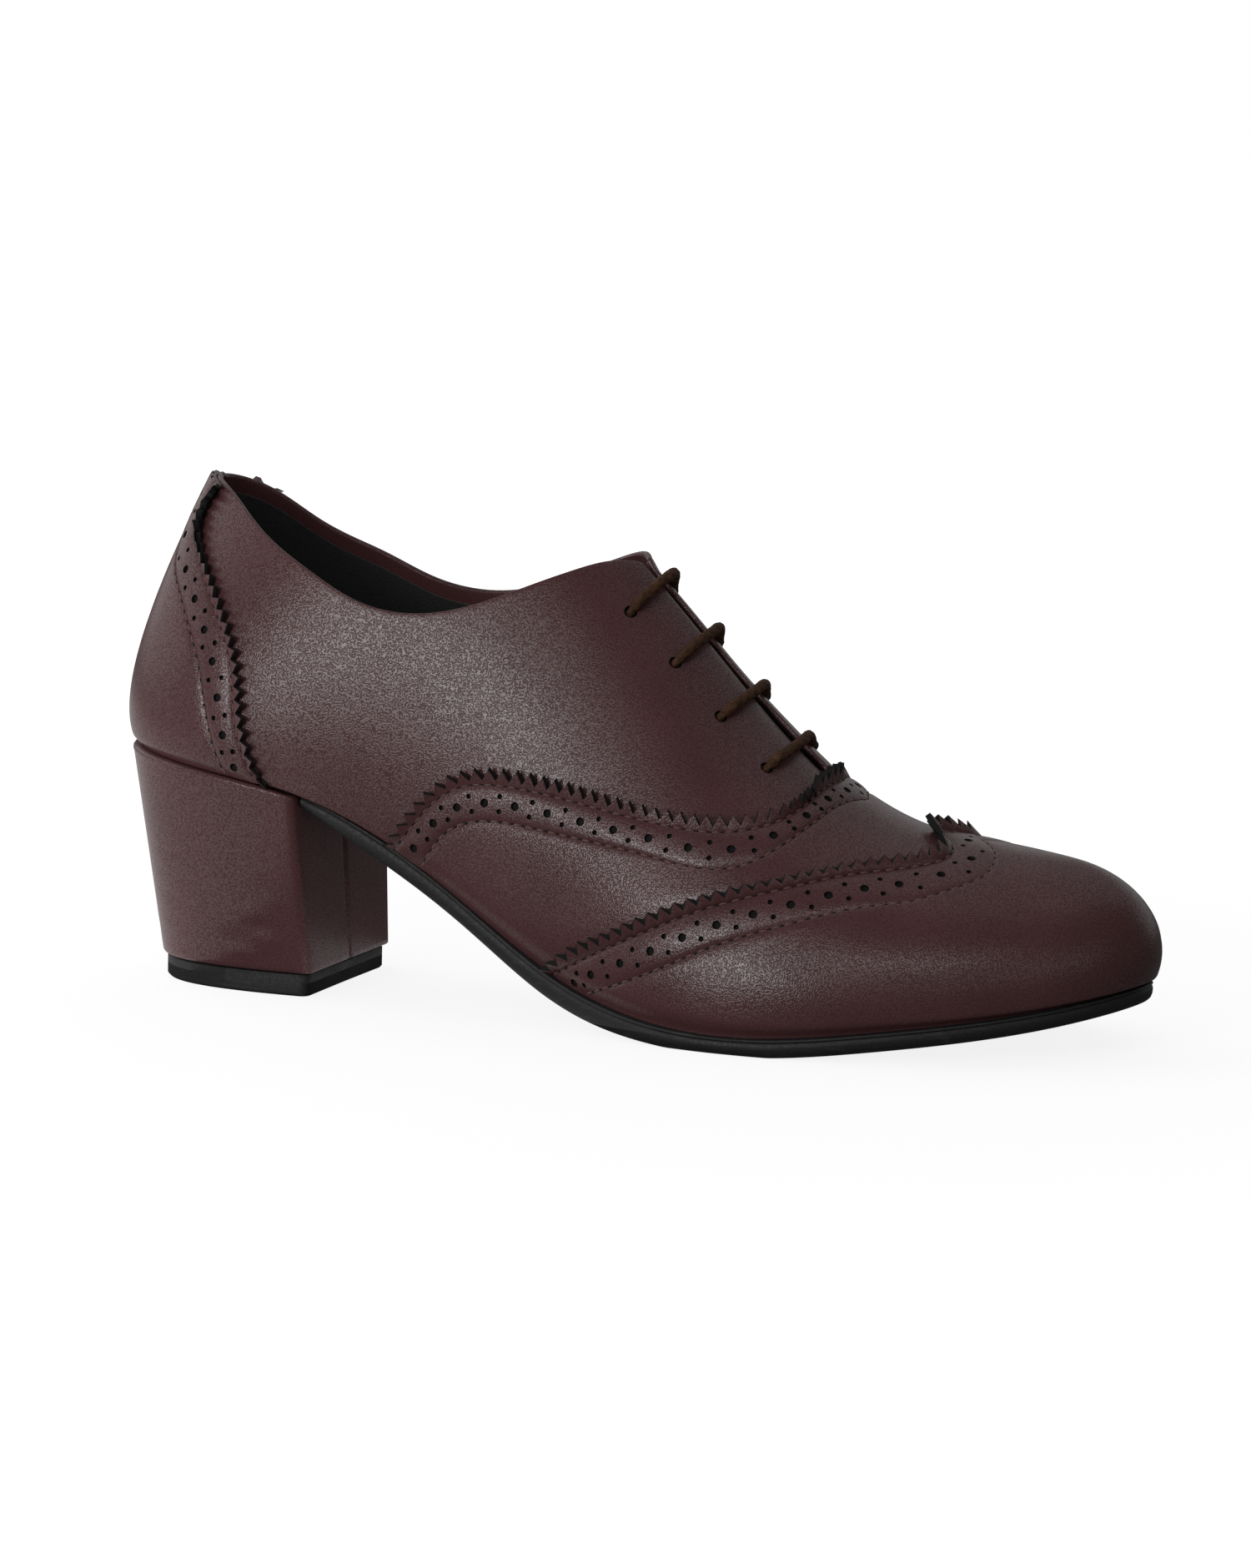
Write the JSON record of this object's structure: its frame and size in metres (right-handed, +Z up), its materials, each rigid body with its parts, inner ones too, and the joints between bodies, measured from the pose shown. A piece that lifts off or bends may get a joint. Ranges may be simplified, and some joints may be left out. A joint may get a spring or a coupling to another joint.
{
  "type": "oxford shoe",
  "caption": "Right-foot wing-tip oxford shoe in burgundy leather, with a laced throat, punched and pinked panels, a thin dark sole and a covered block heel.",
  "frame": {"origin": "on the floor under the middle of the shoe's bounding box", "axes": "+X to the toe, +Z up, -Y to the lateral (outer) side"},
  "size_m": [0.2426, 0.0844, 0.1155],
  "materials": {
    "burgundy_leather": "satin, fine pebble grain",
    "black_lining": "matt",
    "sole_rubber": "satin black",
    "lace_cord": "braided, matt"
  },
  "bodies": {
    "root": {"upper": "burgundy_leather", "wing_cap": "burgundy_leather", "vamp_band": "burgundy_leather", "heel_counter": "burgundy_leather", "tongue": "burgundy_leather", "heel_block": "burgundy_leather", "insole": "black_lining", "outsole": "sole_rubber", "heel_tip": "sole_rubber", "lace_bar_1": "lace_cord", "lace_bar_2": "lace_cord", "lace_bar_3": "lace_cord", "lace_bar_4": "lace_cord"}
  },
  "joints": []
}
